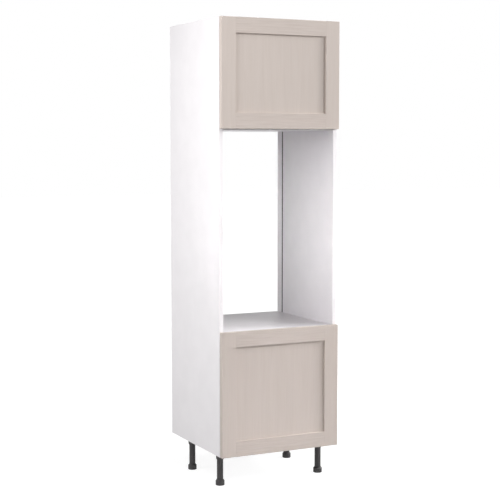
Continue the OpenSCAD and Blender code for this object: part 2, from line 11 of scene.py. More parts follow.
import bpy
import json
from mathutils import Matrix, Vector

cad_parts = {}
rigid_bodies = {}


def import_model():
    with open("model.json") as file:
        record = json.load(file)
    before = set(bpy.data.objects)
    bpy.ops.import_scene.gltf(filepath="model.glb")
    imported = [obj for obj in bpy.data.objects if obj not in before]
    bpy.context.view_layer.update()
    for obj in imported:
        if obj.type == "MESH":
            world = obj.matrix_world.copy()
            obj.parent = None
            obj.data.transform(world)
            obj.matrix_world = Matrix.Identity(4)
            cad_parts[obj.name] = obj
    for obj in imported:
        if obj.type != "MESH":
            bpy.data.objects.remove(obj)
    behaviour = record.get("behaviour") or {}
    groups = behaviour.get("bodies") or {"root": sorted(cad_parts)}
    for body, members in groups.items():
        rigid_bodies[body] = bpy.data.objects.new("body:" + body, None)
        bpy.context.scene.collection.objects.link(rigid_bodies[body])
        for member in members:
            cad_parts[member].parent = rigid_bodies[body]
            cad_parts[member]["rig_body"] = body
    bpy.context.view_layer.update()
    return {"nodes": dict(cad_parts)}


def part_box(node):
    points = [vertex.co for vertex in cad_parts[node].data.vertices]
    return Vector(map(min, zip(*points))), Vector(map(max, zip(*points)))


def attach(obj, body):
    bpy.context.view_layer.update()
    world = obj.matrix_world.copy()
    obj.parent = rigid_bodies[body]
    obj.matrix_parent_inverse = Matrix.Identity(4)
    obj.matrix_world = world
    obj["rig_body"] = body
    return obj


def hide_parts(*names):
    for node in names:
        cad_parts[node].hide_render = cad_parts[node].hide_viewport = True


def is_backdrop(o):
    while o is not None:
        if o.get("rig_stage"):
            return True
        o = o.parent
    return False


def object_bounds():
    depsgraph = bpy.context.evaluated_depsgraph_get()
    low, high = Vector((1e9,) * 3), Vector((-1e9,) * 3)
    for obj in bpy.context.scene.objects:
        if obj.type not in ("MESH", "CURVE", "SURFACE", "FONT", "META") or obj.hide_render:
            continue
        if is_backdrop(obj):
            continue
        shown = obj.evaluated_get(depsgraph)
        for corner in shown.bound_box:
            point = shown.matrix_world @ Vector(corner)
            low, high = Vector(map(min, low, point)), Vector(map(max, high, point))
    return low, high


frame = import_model()

# %% The other modules, the units and the axes
import json
from math import atan2, cos, radians, tau

import bmesh
import bpy
from bmesh.types import BMEdge, BMVert
from mathutils import Matrix, Vector

MM = 0.001
X, Y, Z = range(3)
scene = bpy.context.scene
nodes = frame["nodes"]

# %% [markdown]
# ## The camera
#
# The picture is taken from the unit's front left, with the lens nearly as high as the
# top of the oven bay. It could be aimed by eye, but then every edge would run a little
# askew. So its place and its lens were worked out from the straight edges of the doors
# and side panels, whose real sizes are known. A long lens from six metres away keeps
# the upright edges almost parallel.

# %% Place the camera
CAMERA_AT = (-2.6538, -5.3119, 1.5652)
LENS_MM, SENSOR_MM = 90.432, 36
TILT_DOWN, TURN_RIGHT = 4.854, 26.403  # degrees

camera_data = bpy.data.cameras.new("studio_camera")
camera_data.sensor_width = SENSOR_MM
camera_data.lens = LENS_MM
camera = bpy.data.objects.new("studio_camera", camera_data)
scene.collection.objects.link(camera)
camera.location = CAMERA_AT
camera.rotation_euler = (radians(90 - TILT_DOWN), 0, radians(-TURN_RIGHT))
scene.camera = camera
print("camera stands", round(camera.location.length, 2), "m from the origin")

# %% [markdown]
# ## Colours and nodes
#
# Colours are written as on a paint card, as hex values in sRGB. Cycles works with
# linear light, so one function converts them. Shader nodes could be placed by hand in the
# node editor, but written out they can be read and changed. Two small functions keep
# that short: one feeds values and links to a node, and one adds a node and feeds it.

# %% A colour from a paint card, and one function to add a node
def paint(card):
    """The linear colour of an sRGB hex value such as 'f4f3f5'. The curve from one to the
    other is a straight line near black, and a power above it."""
    shares = [int(card[i : i + 2], 16) / 255 for i in (0, 2, 4)]
    return [s / 12.92 if s <= 0.04045 else ((s + 0.055) / 1.055) ** 2.4 for s in shares] + [1]


def feed(tree, node, **inputs):
    """Sets inputs to values or links them to sockets. An input goes by its name, with
    _ for a space, or by its number, as in _6, where names repeat."""
    for name, value in inputs.items():
        key = int(name[1:]) if name[1:].isdigit() else name.replace("_", " ")
        if isinstance(value, bpy.types.NodeSocket):
            tree.links.new(value, node.inputs[key])
        else:
            node.inputs[key].default_value = value


def add(tree, kind, settings=None, stops=None, **inputs):
    """A new node: its own settings, a ramp's stops as {position: card}, its inputs."""
    node = tree.nodes.new(kind)
    for name, value in (settings or {}).items():
        setattr(node, name, value)
    for i, (position, card) in enumerate((stops or {}).items()):
        marks = node.color_ramp.elements
        mark = marks[i] if i < len(marks) else marks.new(position)
        mark.position, mark.color = position, paint(card)
    feed(tree, node, **inputs)
    return node


print("melamine white in linear light:", [round(c, 3) for c in paint("ece9eb")])

# %% [markdown]
# Every finish here is one Principled shader. What differs is the pattern that feeds
# its colour, its roughness and its bump, so a helper makes the material, its shader
# and the coordinates that the patterns read. Patterns could follow UV maps, but a
# board has none. Object coordinates need no unwrapping: all the pieces sit at the
# origin, so one metre of pattern is one metre of board.

# %% A material with its shader and its coordinates
def new_finish(name, **shader_values):
    """(material, node tree, its Principled shader, its Object coordinates)."""
    material = bpy.data.materials.new(name)
    material.use_nodes = True
    tree = material.node_tree
    tree.nodes.clear()
    shader = add(tree, "ShaderNodeBsdfPrincipled", **shader_values)
    add(tree, "ShaderNodeOutputMaterial", Surface=shader.outputs["BSDF"])
    place = add(tree, "ShaderNodeTexCoord").outputs["Object"]
    return material, tree, shader, place


print("materials that came in:", len(bpy.data.materials))

# %% [markdown]
# ## White faced board
#
# The carcass is melamine-faced chipboard: 18 mm of pressed wood flakes between two
# sheets of printed paper soaked in melamine resin. The press plate leaves a very fine
# pearl on the white face, so its gloss is soft and low. A flat white would look like
# card, so a noise of the pearl's size bends the surface, and a broad one lets the
# white drift a little, as it does on a large pressed sheet.

# %% Melamine face: a satin white with a pearl of 1.5 mm
PEARL, PEARL_DEEP = 1.5 * MM, 0.03 * MM
DRIFT = 90 * MM


def melamine_face():
    material, tree, shader, place = new_finish(
        "melamine_faced_board_white", Roughness=0.38, IOR=1.5, Specular_IOR_Level=0.3
    )
    pearl = add(tree, "ShaderNodeTexNoise", Vector=place, Scale=1 / PEARL, Detail=2)
    drift = add(tree, "ShaderNodeTexNoise", Vector=place, Scale=1 / DRIFT, Detail=3)
    tint = add(
        tree, "ShaderNodeValToRGB", stops={0.35: "e9e6e8", 0.65: "ece9eb"},
        Fac=drift.outputs["Fac"],
    )
    relief = add(
        tree, "ShaderNodeBump", Height=pearl.outputs["Fac"], Distance=PEARL_DEEP, Strength=0.4
    )
    feed(tree, shader, Base_Color=tint.outputs["Color"], Normal=relief.outputs["Normal"])
    return material


white_board = melamine_face()
print("made", white_board.name)

# %% [markdown]
# Wherever the board is cut, the flakes show: tan at its sawn ends. In the groove for
# the back panels and in the bores little light comes in, so the chipboard there is
# given near-black browns as painted shade. Voronoi cells are polygons packed edge to
# edge, which is what pressed flakes look like end on, so each cell becomes a flake
# with a tone of its own. A noise would be simpler, but it clouds where the wood is
# chipped.

# %% Cut chipboard: flakes of 2.2 mm in three browns
FLAKE, FLAKE_DEEP = 2.2 * MM, 0.4 * MM


def cut_chipboard(name, dark, middle, light):
    material, tree, shader, place = new_finish(name, Roughness=0.85)
    flakes = add(tree, "ShaderNodeTexVoronoi", Vector=place, Scale=1 / FLAKE)
    shade = add(tree, "ShaderNodeSeparateColor", Color=flakes.outputs["Color"])
    brown = add(
        tree, "ShaderNodeValToRGB", stops={0.1: dark, 0.5: middle, 0.95: light},
        Fac=shade.outputs["Red"],
    )
    relief = add(
        tree, "ShaderNodeBump", Height=flakes.outputs["Distance"], Distance=FLAKE_DEEP
    )
    feed(tree, shader, Base_Color=brown.outputs["Color"], Normal=relief.outputs["Normal"])
    return material


sawn_end = cut_chipboard("sawn_chipboard", "9f8260", "bfa17a", "d8bf99")
# the groove's near-black browns are painted shade: milled chipboard is as tan as its sawn ends
groove_painted_shade = cut_chipboard("groove_chipboard_painted_shade", "2c2625", "38302d", "463c37")
print("made", sawn_end.name, "and", groove_painted_shade.name)

# %% [markdown]
# A new piece that keeps the CAD shape begins as a copy of its node. The node's mesh
# is loose triangles, so the copy is merged where the triangles meet and its flat
# faces are made whole. The finished piece rides on the same body, and stands for it.
# Drawing the boards again would only repeat the CAD. A copy keeps every bored hole,
# and needs no more than a material for each kind of face.

# %% Take a merged copy of a node, and put a finished piece in its place
MERGE_WITHIN = 0.002 * MM
FLAT_WITHIN = radians(1)


def merged_copy(node):
    bm = bmesh.new()
    bm.from_mesh(nodes[node].data)
    bmesh.ops.remove_doubles(bm, verts=bm.verts, dist=MERGE_WITHIN)
    bmesh.ops.dissolve_limit(bm, angle_limit=FLAT_WITHIN, verts=bm.verts, edges=bm.edges)
    return bm


def finish_piece(bm, name, materials, node, smooth_below=30):
    """The piece as an object that rides as its node does and stands for it. Edges
    flatter than smooth_below, in degrees, are shaded as one curved surface."""
    mesh = bpy.data.meshes.new(name)
    bm.to_mesh(mesh)
    bm.free()
    mesh.shade_smooth()
    mesh.set_sharp_from_angle(angle=radians(smooth_below))
    for material in materials:
        mesh.materials.append(material)
    piece = bpy.data.objects.new(name, mesh)
    scene.collection.objects.link(piece)
    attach(piece, nodes[node]["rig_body"])
    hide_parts(node)
    print(name, len(mesh.polygons), "faces")
    return piece


# %% [markdown]
# The kind of each face follows from where its middle lies. On the board's thickness it
# is faced, on the rest of its outline it is sawn, and inside the outline it is milled.
# A large flat face with small bores in it shades in streaks where it is smoothed over
# their rims, so a board is smoothed over nothing steeper than one degree.

# %% Cut the eight boards
BOARDS = {  # the axis of each board's thickness
    "left_side_panel": X, "right_side_panel": X,
    "top_panel": Z, "upper_oven_shelf": Z, "lower_oven_shelf": Z, "bottom_panel": Z,
    "upper_back_panel": Y, "lower_back_panel": Y,
}
# a milled face takes the chipboard darkened as painted shade
BOARD_FINISHES = [white_board, sawn_end, groove_painted_shade]
FACED, SAWN, MILLED = range(3)
SAME_PLACE = 0.01 * MM


def near(a, b):
    return abs(a - b) < SAME_PLACE


def board(node, thin):
    low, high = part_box(node)
    bm = merged_copy(node)
    for face in bm.faces:
        at = face.calc_center_median()
        depth = [min(at[i] - low[i], high[i] - at[i]) for i in range(3)]
        on_face = near(depth.pop(thin), 0)
        on_end = near(min(depth), 0)
        face.material_index = FACED if on_face else SAWN if on_end else MILLED
    finish_piece(bm, node + "_board", BOARD_FINISHES, node, smooth_below=1)


for node, thin in BOARDS.items():
    board(node, thin)

# %% [markdown]
# The front edges of the boards are lipped with 1 mm ABS tape, glued on from a coil. A
# scraper and a felt wheel leave it smoother and whiter than the faces, with a faint
# ripple. A plain glossy white could stand for it, but the ripple is what breaks up the
# highlight along a strip two metres long.

# %% Edging plastic
RIPPLE, RIPPLE_DEEP = 4 * MM, 0.02 * MM


def edging_plastic():
    material, tree, shader, place = new_finish(
        "abs_edging_white", Roughness=0.28, IOR=1.53, Base_Color=paint("f7f4f6")
    )
    ripple = add(tree, "ShaderNodeTexNoise", Vector=place, Scale=1 / RIPPLE, Detail=1)
    relief = add(
        tree, "ShaderNodeBump", Height=ripple.outputs["Fac"], Distance=RIPPLE_DEEP,
        Strength=0.4,
    )
    feed(tree, shader, Normal=relief.outputs["Normal"])
    return material


edging = edging_plastic()
print("made", edging.name)

# %% [markdown]
# A trimming cutter rounds the tape's two long arrises. Each strip starts as a cube of
# the strip's size. Its edges could be beveled at once in the mesh, but a Bevel modifier
# that reads a weight from each edge can be changed afterwards, and the doors can use it
# too.

# %% A box between two corners, and edges that a modifier rounds
def cuboid(bm, low, high):
    made = bmesh.ops.create_cube(bm, size=1)["verts"]
    low, high = Vector(low), Vector(high)
    bmesh.ops.scale(bm, vec=high - low, verts=made)
    bmesh.ops.translate(bm, vec=(low + high) / 2, verts=made)


def weigh(bm, share, chosen):
    """Marks the edges that chosen(edge) picks: share is their part of the full width."""
    weight = bm.edges.layers.float.get("bevel_weight_edge")
    weight = weight or bm.edges.layers.float.new("bevel_weight_edge")
    for edge in filter(chosen, bm.edges):
        edge[weight] = share


def lies_at(edge, **place):
    """Whether both ends of an edge have these coordinates, such as x=0.1, y=-0.2."""
    return all(near(getattr(v.co, axis), at) for v in edge.verts for axis, at in place.items())


def round_edges(piece, width, segments, **which):
    """A Bevel modifier with a quarter circle for its profile, 0.5. Its other settings
    say which edges it rounds."""
    bevel = piece.modifiers.new("rounded_edges", "BEVEL")
    bevel.width, bevel.segments, bevel.profile = width, segments, 0.5
    bevel.use_clamp_overlap = True
    for name, value in which.items():
        setattr(bevel, name, value)


WEIGHTED = {"limit_method": "WEIGHT", "miter_outer": "MITER_SHARP"}
print("weighted edges are rounded with", WEIGHTED)

# %% Lip the boards
TAPE_THICK = 1 * MM
TAPE_ROUND = 0.5 * MM
GLUE_LINE = 0.05 * MM

tapes = bmesh.new()
for node, thin in BOARDS.items():
    if thin != Y:  # a back panel has no edge in front
        low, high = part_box(node)
        gap = GLUE_LINE if thin == Z else 0  # a level strip stops short of the upright ones
        cuboid(tapes, (low.x + gap, low.y - TAPE_THICK, low.z), (high.x - gap, low.y, high.z))
front_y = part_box("front_edge_tapes")[0].y
weigh(tapes, 1, lambda edge: lies_at(edge, y=front_y))
strips = finish_piece(
    tapes, "front_edging_strips", [edging], "front_edge_tapes"
)
round_edges(strips, TAPE_ROUND, segments=3, **WEIGHTED)

# %% [markdown]
# ## The doors
#
# Each door is a frame of two uprights and two rails round a thinner panel. All five
# are fibreboard wrapped in a matt foil, printed and pressed to look like painted ash:
# open pores that follow the length of each part under a covering paint, and a faint
# figure of growth rings. The grain stands upright on the stiles and the panel, and lies
# level on the rails. One noise, stretched along the grain, could make it all. Two are
# used, because the pores are narrow and dark and the rings are broad and soft.

# %% Stretch a pattern along the grain
PORE_WIDE, PORE_LONG = 4 * MM, 130 * MM  # real pores are 0.3 mm wide, too fine to show
RING_WIDE, RING_LONG = 22 * MM, 320 * MM


def grain_scale(run, wide, long):
    """The scale at which one pattern cell is wide across the grain and long with it.
    run is the axis that the grain follows."""
    scale = [1 / wide, 1 / wide, 1 / wide]
    scale[run] = 1 / long
    return scale


print("pores, per metre:", [round(s) for s in grain_scale(Z, PORE_WIDE, PORE_LONG)])

# %% Ash-grain foil
PORE_DEEP = 0.015 * MM


def ash_foil(name, run, pore_shade):
    material, tree, shader, place = new_finish(name, IOR=1.48, Specular_IOR_Level=0.35)
    along_pores = add(
        tree, "ShaderNodeMapping", Vector=place, Scale=grain_scale(run, PORE_WIDE, PORE_LONG)
    )
    pores = add(
        tree, "ShaderNodeTexNoise", Vector=along_pores.outputs["Vector"], Scale=1, Detail=3,
        Roughness=0.6,
    )
    along_rings = add(
        tree, "ShaderNodeMapping", Vector=place, Scale=grain_scale(run, RING_WIDE, RING_LONG)
    )
    rings = add(
        tree, "ShaderNodeTexNoise", Vector=along_rings.outputs["Vector"], Scale=1, Detail=2,
        Distortion=0.5,
    )
    figure = add(
        tree, "ShaderNodeValToRGB", stops={0.3: "c5bab3", 0.7: "c8bdb6"},
        Fac=rings.outputs["Fac"],
    )
    streaks = add(
        tree, "ShaderNodeValToRGB", stops={0.36: pore_shade, 0.56: "ffffff"},
        Fac=pores.outputs["Fac"],
    )
    printed = add(
        tree, "ShaderNodeMix", {"data_type": "RGBA", "blend_type": "MULTIPLY"},
        _0=1.0, _6=figure.outputs["Color"], _7=streaks.outputs["Color"],
    )
    sheen = add(
        tree, "ShaderNodeMapRange", Value=pores.outputs["Fac"], To_Min=0.6, To_Max=0.48
    )
    relief = add(
        tree, "ShaderNodeBump", Height=pores.outputs["Fac"], Distance=PORE_DEEP, Strength=0.5
    )
    feed(
        tree, shader, Base_Color=printed.outputs[2], Roughness=sheen.outputs["Result"],
        Normal=relief.outputs["Normal"],
    )
    return material


foil_upright = ash_foil("ash_grain_foil_upright", Z, "fdfcfb")
foil_level = ash_foil("ash_grain_foil_level", X, "f6f4f3")
print("made", foil_upright.name, "and", foil_level.name)

# %% [markdown]
# A stile or a rail is cut from long stock whose section is a rectangle with a groove
# for the centre panel's tongue. It could be a cube with the groove cut out of it. Drawn
# as a face and extruded to its length, the section needs no cut at all. Its long front
# edges are rounded by the weighted Bevel: wide outside, narrow on the inner arris, and
# only just broken where stile and rail meet, which leaves the hairline joint of a real
# frame.

# %% Extrude a section
DOOR_ROUND = 2 * MM
INNER_SHARE = 0.45
SEAM_SHARE = 0.12


def draw_out(bm, faces, along):
    """Extrudes faces as one region and moves the new ones along a vector."""
    drawn = bmesh.ops.extrude_face_region(bm, geom=faces)["geom"]
    bmesh.ops.translate(bm, vec=along, verts=[g for g in drawn if isinstance(g, BMVert)])


def extrude_section(corners, along):
    """A bmesh: the section's corners joined as a face, then drawn out by a vector."""
    bm = bmesh.new()
    section = bm.faces.new([bm.verts.new(corner) for corner in corners])
    draw_out(bm, [section], along)
    bmesh.ops.recalc_face_normals(bm, faces=bm.faces)
    return bm


print("the inner arris is rounded by", round(DOOR_ROUND * INNER_SHARE / MM, 2), "mm")

# %% [markdown]
# The right stile also has the round bores that the hinge cups are pressed into. Its
# back face is taken off and filled again between its outline and two circles. Then
# each circle is drawn into the wood and closed with a floor. A Boolean would cut the
# same bores, but it leaves slivers that a Bevel can't round.

# %% Circles of edges, and a face filled round them and sunk
BORE_SIDES = 64


def new_ring(bm, sides, radius, matrix=Matrix.Identity(4)):
    """The edges of a circle round the Z axis, or placed by a matrix."""
    circle = bmesh.ops.create_circle(bm, segments=sides, radius=radius, matrix=matrix)["verts"]
    return list({edge for v in circle for edge in v.link_edges})


def drawn_on(bm, ring):
    """Extrudes a closed ring of edges in place. Returns the new ring and its vertices."""
    made = bmesh.ops.extrude_edge_only(bm, edges=ring)["geom"]
    corners = {g for g in made if isinstance(g, BMVert)}
    edges = [g for g in made if isinstance(g, BMEdge)]
    return [e for e in edges if corners.issuperset(e.verts)], corners


def sink(bm, outline, rims, inward):
    """Fills between an outline and rims inside it, and draws each rim in to a floor."""
    bmesh.ops.triangle_fill(
        bm, use_beauty=True, edges=outline + sum(rims, []), normal=-inward.normalized()
    )
    for rim in rims:
        floor, corners = drawn_on(bm, rim)
        bmesh.ops.translate(bm, vec=inward, verts=list(corners))
        bmesh.ops.contextual_create(bm, geom=floor)


bm = bmesh.new()
print("the rim of a bore has", len(new_ring(bm, BORE_SIDES, 1)), "edges")
bm.free()

# %% Bore the back of a stile
DOORS = ("upper_door", "lower_door")
CUP_BORE_R = 17.5 * MM
CUP_BORE_DEEP = 13.5 * MM


def hinge_cups(door):
    """The boxes of a door's two hinge cups."""
    return [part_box(f"{door}_{end}_hinge_cup") for end in ("top", "bottom")]


def bore_back(bm, centres):
    back = max(bm.faces, key=lambda f: f.calc_center_median().y)
    outline = list(back.edges)
    bmesh.ops.delete(bm, geom=[back], context="FACES_ONLY")
    turned = Matrix.Rotation(radians(90), 4, "X")
    rims = [
        new_ring(bm, BORE_SIDES, CUP_BORE_R, Matrix.Translation(centre) @ turned)
        for centre in centres
    ]
    sink(bm, outline, rims, Vector((0, -CUP_BORE_DEEP, 0)))
    bmesh.ops.recalc_face_normals(bm, faces=bm.faces)


for low, high in hinge_cups(DOORS[0]):
    print("a cup spans, mm:", [round(side / MM, 1) for side in high - low])

# %% Make the stiles
PANEL_FIT = 0.1 * MM
TONGUE_SLACK = 0.5 * MM


def stile(door, hand):
    """hand is left or right. The groove takes the panel's tongue, and the right stile
    takes the hinge cups."""
    node = f"{door}_{hand}_stile"
    low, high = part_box(node)
    tongue_low, tongue_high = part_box(f"{door}_centre_panel")
    out = 1 if hand == "right" else -1
    inner, outer = (low.x, high.x)[::out]
    floor = (tongue_high.x if out > 0 else tongue_low.x) + out * TONGUE_SLACK
    slot_front, slot_back = tongue_low.y - PANEL_FIT, tongue_high.y + PANEL_FIT
    section = [
        (inner, low.y), (outer, low.y), (outer, high.y), (inner, high.y),
        (inner, slot_back), (floor, slot_back), (floor, slot_front), (inner, slot_front),
    ]
    bm = extrude_section([(x, y, low.z) for x, y in section], (0, 0, high.z - low.z))
    if hand == "right":
        cups = hinge_cups(door)
        bore_back(bm, [Vector(((a.x + b.x) / 2, high.y, (a.z + b.z) / 2)) for a, b in cups])
    weigh(bm, 1, lambda edge: lies_at(edge, y=low.y))
    weigh(bm, INNER_SHARE, lambda edge: lies_at(edge, x=inner, y=low.y))
    piece = finish_piece(bm, f"{node}_wrapped", [foil_upright], node)
    round_edges(piece, DOOR_ROUND, segments=4, **WEIGHTED)


for door in DOORS:
    stile(door, "left")
    stile(door, "right")

# %% [markdown]
# A rail has the same section, lying down, with a tongue at each end that fits the
# stile's groove. A tongue could be a box set against the end, but then two solids would
# only touch. So the end face is cut into cells by four planes, and the cell on the
# tongue's place is drawn out, which keeps the rail one closed solid.

# %% Draw out a tongue
CUT_WITHIN = 0.001 * MM


def draw_tongue(bm, end_x, length, low, high):
    """low and high are the (y, z) corners of the tongue on the end face at end_x."""
    for axis, at in ((Y, low[0]), (Y, high[0]), (Z, low[1]), (Z, high[1])):
        ends = [f for f in bm.faces if all(near(v.co.x, end_x) for v in f.verts)]
        parts = {p for f in ends for p in (f, *f.edges, *f.verts)}
        normal = [0, 0, 0]
        normal[axis] = 1
        bmesh.ops.bisect_plane(
            bm, geom=list(parts), dist=CUT_WITHIN, plane_co=[at] * 3, plane_no=normal
        )
    cells = []
    for face in bm.faces:
        at = face.calc_center_median()
        on_end = all(near(v.co.x, end_x) for v in face.verts)
        if on_end and low[0] < at.y < high[0] and low[1] < at.z < high[1]:
            cells.append(face)
    draw_out(bm, cells, (length, 0, 0))
    bmesh.ops.delete(bm, geom=cells, context="FACES")


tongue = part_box("upper_door_top_rail")[1].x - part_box("upper_door_right_stile")[0].x
print("a tongue is", round(tongue / MM, 1), "mm long")

# %% Make the rails
def rail(door, place):
    """place is top or bottom. The centre panel is below a top rail, above a bottom one."""
    node = f"{door}_{place}_rail"
    low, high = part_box(node)
    tongue_low, tongue_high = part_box(f"{door}_centre_panel")
    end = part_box(f"{door}_right_stile")[0].x
    up = 1 if place == "top" else -1
    inner, outer = (low.z, high.z)[::up]
    floor = (tongue_high.z if up > 0 else tongue_low.z) + up * TONGUE_SLACK
    slot_front, slot_back = tongue_low.y - PANEL_FIT, tongue_high.y + PANEL_FIT
    section = [
        (low.y, inner), (low.y, outer), (high.y, outer), (high.y, inner),
        (slot_back, inner), (slot_back, floor), (slot_front, floor), (slot_front, inner),
    ]
    bm = extrude_section([(-end, y, z) for y, z in section], (2 * end, 0, 0))
    tongue_z = sorted((floor, outer))
    for x, length in ((-end, low.x + end), (end, high.x - end)):
        draw_tongue(
            bm, x, length, (tongue_low.y, tongue_z[0]), (tongue_high.y, tongue_z[1])
        )
    bmesh.ops.recalc_face_normals(bm, faces=bm.faces)
    weigh(bm, SEAM_SHARE, lambda edge: any(lies_at(edge, y=low.y, x=x) for x in (-end, end)))
    weigh(bm, 1, lambda edge: lies_at(edge, y=low.y, z=outer))
    weigh(bm, INNER_SHARE, lambda edge: lies_at(edge, y=low.y, z=inner))
    piece = finish_piece(bm, f"{node}_wrapped", [foil_level], node)
    round_edges(piece, DOOR_ROUND, segments=4, **WEIGHTED)


for door in DOORS:
    rail(door, "top")
    rail(door, "bottom")

# %% [markdown]
# The centre panel is an 8 mm board that slides into the grooves before the frame is
# glued, so it is as large as its tongues reach. Nothing holds it but the grooves, and it
# can shrink and swell. It could be a copy of its node too, but a box is simpler and has
# clean edges for the modifier. The dark line on its right and under the top rail is
# no part of it: it is the shadow that the frame throws.

# %% Slide in the centre panels
PANEL_ARRIS = 0.4 * MM


def centre_panel(door):
    node = f"{door}_centre_panel"
    low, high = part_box(node)
    bm = bmesh.new()
    cuboid(bm, low, high)
    weigh(bm, 1, lambda edge: lies_at(edge, y=low.y))
    piece = finish_piece(bm, f"{node}_wrapped", [foil_upright], node)
    round_edges(piece, PANEL_ARRIS, segments=2, **WEIGHTED)


for door in DOORS:
    centre_panel(door)

# %% [markdown]
# ## Legs
#
# The legs are injection-moulded polypropylene, coloured black in the mass. The mould
# is spark-eroded, so the skin has a fine leathery grain and a low, waxy gloss, and
# the colour is really a very dark warm grey once light falls on it. A plain black
# would show none of this, so a fine noise makes the grain and a broad one lets the
# colour drift as the plastic flowed.

# %% Moulded black plastic
SPARK, SPARK_DEEP = 0.9 * MM, 0.06 * MM
FLOW = 25 * MM


def moulded_plastic():
    material, tree, shader, place = new_finish(
        "moulded_polypropylene_black", Roughness=0.4, IOR=1.49, Specular_IOR_Level=0.4
    )
    grain = add(tree, "ShaderNodeTexNoise", Vector=place, Scale=1 / SPARK, Detail=2)
    flow = add(tree, "ShaderNodeTexNoise", Vector=place, Scale=1 / FLOW, Detail=2)
    tint = add(
        tree, "ShaderNodeValToRGB", stops={0.3: "302e2f", 0.7: "383536"},
        Fac=flow.outputs["Fac"],
    )
    relief = add(
        tree, "ShaderNodeBump", Height=grain.outputs["Fac"], Distance=SPARK_DEEP, Strength=0.6
    )
    feed(tree, shader, Base_Color=tint.outputs["Color"], Normal=relief.outputs["Normal"])
    return material


black_plastic = moulded_plastic()
print("made", black_plastic.name)

# %% [markdown]
# The socket under the unit and the tube keep their CAD shape, so they start as copies.
# No moulded edge is sharp, and in a picture a sharp one catches no light. The edges could
# be weighted as the doors' are, but the copies have many, so here the Bevel picks them
# by their angle.

# %% Sockets and tubes with softened edges
CORNERS = ["front_left", "front_right", "back_left", "back_right"]
MOULDED_ROUND = 0.5 * MM
SHARP = {"limit_method": "ANGLE", "angle_limit": radians(35)}


def softened_copy(node, name, material, width):
    piece = finish_piece(merged_copy(node), name, [material], node)
    round_edges(piece, width, segments=2, **SHARP)


for corner in CORNERS:
    for part in ("socket", "tube"):
        node = f"leg_{part}_{corner}"
        softened_copy(node, f"{node}_moulded", black_plastic, MOULDED_ROUND)

# %% [markdown]
# The foot is what a hand turns to level the unit, so flutes run up its rim. Below them
# is a plain band, above them a sloping shoulder, and then a stem with a coarse thread
# that the tube hides until the foot is let down. A Screw modifier could make the
# stem alone. Here a ring is drawn on from the floor upwards, one step after another, and
# its flutes come and go with the steps. The thread is a small section spun upwards.

# %% Draw a ring on through steps
def turn_on(bm, ring, steps, flutes=0):
    """Draws a ring on round the Z axis, once for each (radius, height) or, where it is
    fluted, (radius, height, flute depth). Returns the last ring."""
    for radius, height, *deep in steps:
        ring, corners = drawn_on(bm, ring)
        for v in corners:
            # 1 in the middle of a flute, 0 on the ridge between two
            wave = (0.5 + 0.5 * cos(flutes * atan2(v.co.y, v.co.x))) ** 2
            reach = radius - (deep[0] * wave if deep else 0)
            flat = Vector((v.co.x, v.co.y, 0)).normalized()
            v.co = flat * reach + Vector((0, 0, height))
    return ring


bm = bmesh.new()
turn_on(bm, new_ring(bm, 8, 1), [(1, 1), (0.5, 2)])
print("a ring of 8 drawn on twice makes", len(bm.faces), "faces")
bm.free()

# %% Spin a thread
THREAD_PITCH = 4 * MM
THREAD_DEEP = 1 * MM
THREAD_ROOTED = 0.1 * MM  # how far the ridge reaches into the stem
THREAD_RIDGE = (0, 0.25, 0.45, 0.7)  # its four corners, as shares of the pitch
THREAD_SIDES = 24


def spin_thread(bm, root_r, low, high):
    """A helical ridge round the Z axis from one height to another."""
    inner_r, crest_r = root_r - THREAD_ROOTED, root_r + THREAD_DEEP
    radii = (inner_r, crest_r, crest_r, inner_r)
    corners = [
        bm.verts.new((r, 0, low + share * THREAD_PITCH)) for r, share in zip(radii, THREAD_RIDGE)
    ]
    loop = [bm.edges.new(pair) for pair in zip(corners, corners[1:] + corners[:1])]
    turns = int((high - low) / THREAD_PITCH)
    last = bmesh.ops.spin(
        bm, geom=loop + corners, axis=(0, 0, 1), angle=turns * tau,
        steps=turns * THREAD_SIDES, dvec=(0, 0, THREAD_PITCH / THREAD_SIDES),
    )["geom_last"]
    for end in (loop, [g for g in last if isinstance(g, BMEdge)]):
        bmesh.ops.contextual_create(bm, geom=end)


print("the thread rises", round(THREAD_PITCH / MM, 1), "mm a turn")

# %% The rings of a foot
FOOT_FLUTES = 16
FLUTE_SIDES = 8
FLUTE_DEEP = 1.1 * MM
TUBE_GAP = 0.2 * MM  # between the foot's shoulder and the tube
GRIP_SHARE = 0.8  # of the height from the floor to the shoulder
STEM_INSET = 4.1 * MM  # the tube's wall is 3 mm
BARE_BELOW, BARE_ABOVE = 1 * MM, 2 * MM  # the stem's ends without a thread
# From the floor to the tip: a radius and mm out from it, a height and mm up from it,
# and a share of the flutes' depth
FOOT_RINGS = [
    ("rim", -1.5, "floor", 0, 0), ("rim", -0.5, "floor", 0.4, 0),
    ("rim", 0, "floor", 1.5, 0), ("rim", 0, "floor", 3, 0), ("rim", 0, "floor", 4, 1),
    ("rim", 0, "grip", -1, 1), ("rim", -0.3, "grip", 0, 0.6), ("rim", -1.2, "grip", 0.7, 0),
    ("tube", 1.8, "shoulder", -0.6, 0), ("tube", 1, "shoulder", 0, 0),
    ("stem", 0, "shoulder", 0, 0), ("stem", 0, "tip", -1, 0), ("stem", -1, "tip", 0, 0),
]
print(len(FOOT_RINGS), "rings,", FOOT_FLUTES, "flutes,", round(FLUTE_DEEP / MM, 1), "mm deep")

